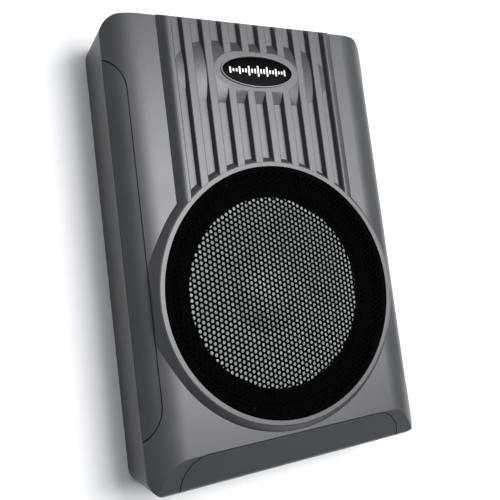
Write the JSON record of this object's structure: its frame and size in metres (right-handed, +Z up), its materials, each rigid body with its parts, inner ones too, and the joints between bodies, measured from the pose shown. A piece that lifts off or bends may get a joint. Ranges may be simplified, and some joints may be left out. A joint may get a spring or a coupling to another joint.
{
  "type": "powered car subwoofer",
  "caption": "Slim under-seat active subwoofer: flat box with heat-sink ribs, round perforated grille over a woofer, and a connector panel on one end.",
  "frame": {"origin": "centre of the underside, on the surface the case lies on", "axes": "+X across the case to the right seen from above with the connector end away, +Y along the case towards the connector end, +Z up, the way the cone faces"},
  "size_m": [0.2544, 0.372, 0.0739],
  "materials": {
    "tray_paint": "satin dark grey powder coat",
    "cover_paint": "satin gunmetal paint",
    "panel_paint": "satin gunmetal paint, a shade darker",
    "black_rubber": "matt",
    "grille_black": "semi-matt black powder coat",
    "badge_chrome": "bright plated",
    "badge_gloss": "gloss black",
    "basket_black": "satin black",
    "surround_rubber": "matt black",
    "cone_silver": "satin silver",
    "former_paper": "varnished",
    "copper": "enamelled copper wire",
    "spider_cloth": "resin-set cloth",
    "zinc_steel": "zinc plated",
    "ferrite": "dull sintered ferrite",
    "phenolic": "brown board",
    "brass_tin": "plated contact brass",
    "black_steel": "black zinc",
    "brass": "turned",
    "board_green": "solder mask",
    "cap_sleeve": "shrink sleeve",
    "chip_black": "moulded epoxy",
    "bar_aluminium": "extruded",
    "plate_black": "matt black",
    "white_plastic": "moulded",
    "terminal_black": "moulded",
    "fuse_orange": "translucent-look moulded",
    "led_red": "lens",
    "pot_blue": "moulded",
    "knob_black": "moulded, fluted"
  },
  "bodies": {
    "cabinet": {"base_tray": "tray_paint", "top_cover": "cover_paint", "case_seal": "black_rubber", "side_panel_left": "panel_paint", "side_panel_right": "panel_paint", "end_panel": "panel_paint", "grille": "grille_black", "badge_bezel": "badge_chrome", "badge_dome": "badge_gloss", "basket": "basket_black", "basket_gasket": "black_rubber", "surround": "surround_rubber", "surround_trim": "black_rubber", "spider": "spider_cloth", "top_plate": "zinc_steel", "magnet": "ferrite", "yoke": "zinc_steel", "driver_terminal": "phenolic", "terminal_lugs": "brass_tin", "driver_screws": "black_steel", "case_screws": "black_steel", "bracket_inserts": "brass", "circuit_board": "board_green", "standoffs": "brass", "board_screws": "zinc_steel", "toroid": "copper", "inductor": "copper", "capacitors": "cap_sleeve", "transistors": "chip_black", "heat_bar": "bar_aluminium", "chips": "chip_black", "control_panel": "plate_black", "panel_screws": "zinc_steel", "rca_shells": "brass_tin", "rca_inserts": "white_plastic", "level_socket": "white_plastic", "level_pins": "brass_tin", "power_terminals": "terminal_black", "terminal_screws": "zinc_steel", "fuse_holder": "terminal_black", "fuse": "fuse_orange", "led_lens": "led_red", "pots": "pot_blue", "switch_body": "zinc_steel"},
    "cone": {"cone": "cone_silver", "dust_cap": "cone_silver", "coil_former": "former_paper", "voice_coil": "copper"},
    "gain_knob": {"gain_knob": "knob_black"},
    "crossover_knob": {"crossover_knob": "knob_black"},
    "bass_knob": {"bass_knob": "knob_black"},
    "phase_switch": {"switch_slider": "white_plastic"}
  },
  "joints": [
    {"name": "cone_travel", "type": "slide", "parent": "cabinet", "child": "cone", "axis": [0, 0, 1], "range_m": [-0.005, 0.005], "stiffness_N_per_m": 1600, "deforming": ["surround", "spider"]},
    {"name": "gain_turn", "type": "hinge", "parent": "cabinet", "child": "gain_knob", "pos_m": [-0.09, 0.1765, 0.022], "axis": [0, 1, 0], "range_deg": [-140, 140]},
    {"name": "crossover_turn", "type": "hinge", "parent": "cabinet", "child": "crossover_knob", "pos_m": [-0.075, 0.1765, 0.022], "axis": [0, 1, 0], "range_deg": [-140, 140]},
    {"name": "bass_turn", "type": "hinge", "parent": "cabinet", "child": "bass_knob", "pos_m": [-0.06, 0.1765, 0.022], "axis": [0, 1, 0], "range_deg": [-140, 140]},
    {"name": "phase_throw", "type": "slide", "parent": "cabinet", "child": "phase_switch", "axis": [1, 0, 0], "range_m": [0, 0.004]}
  ]
}
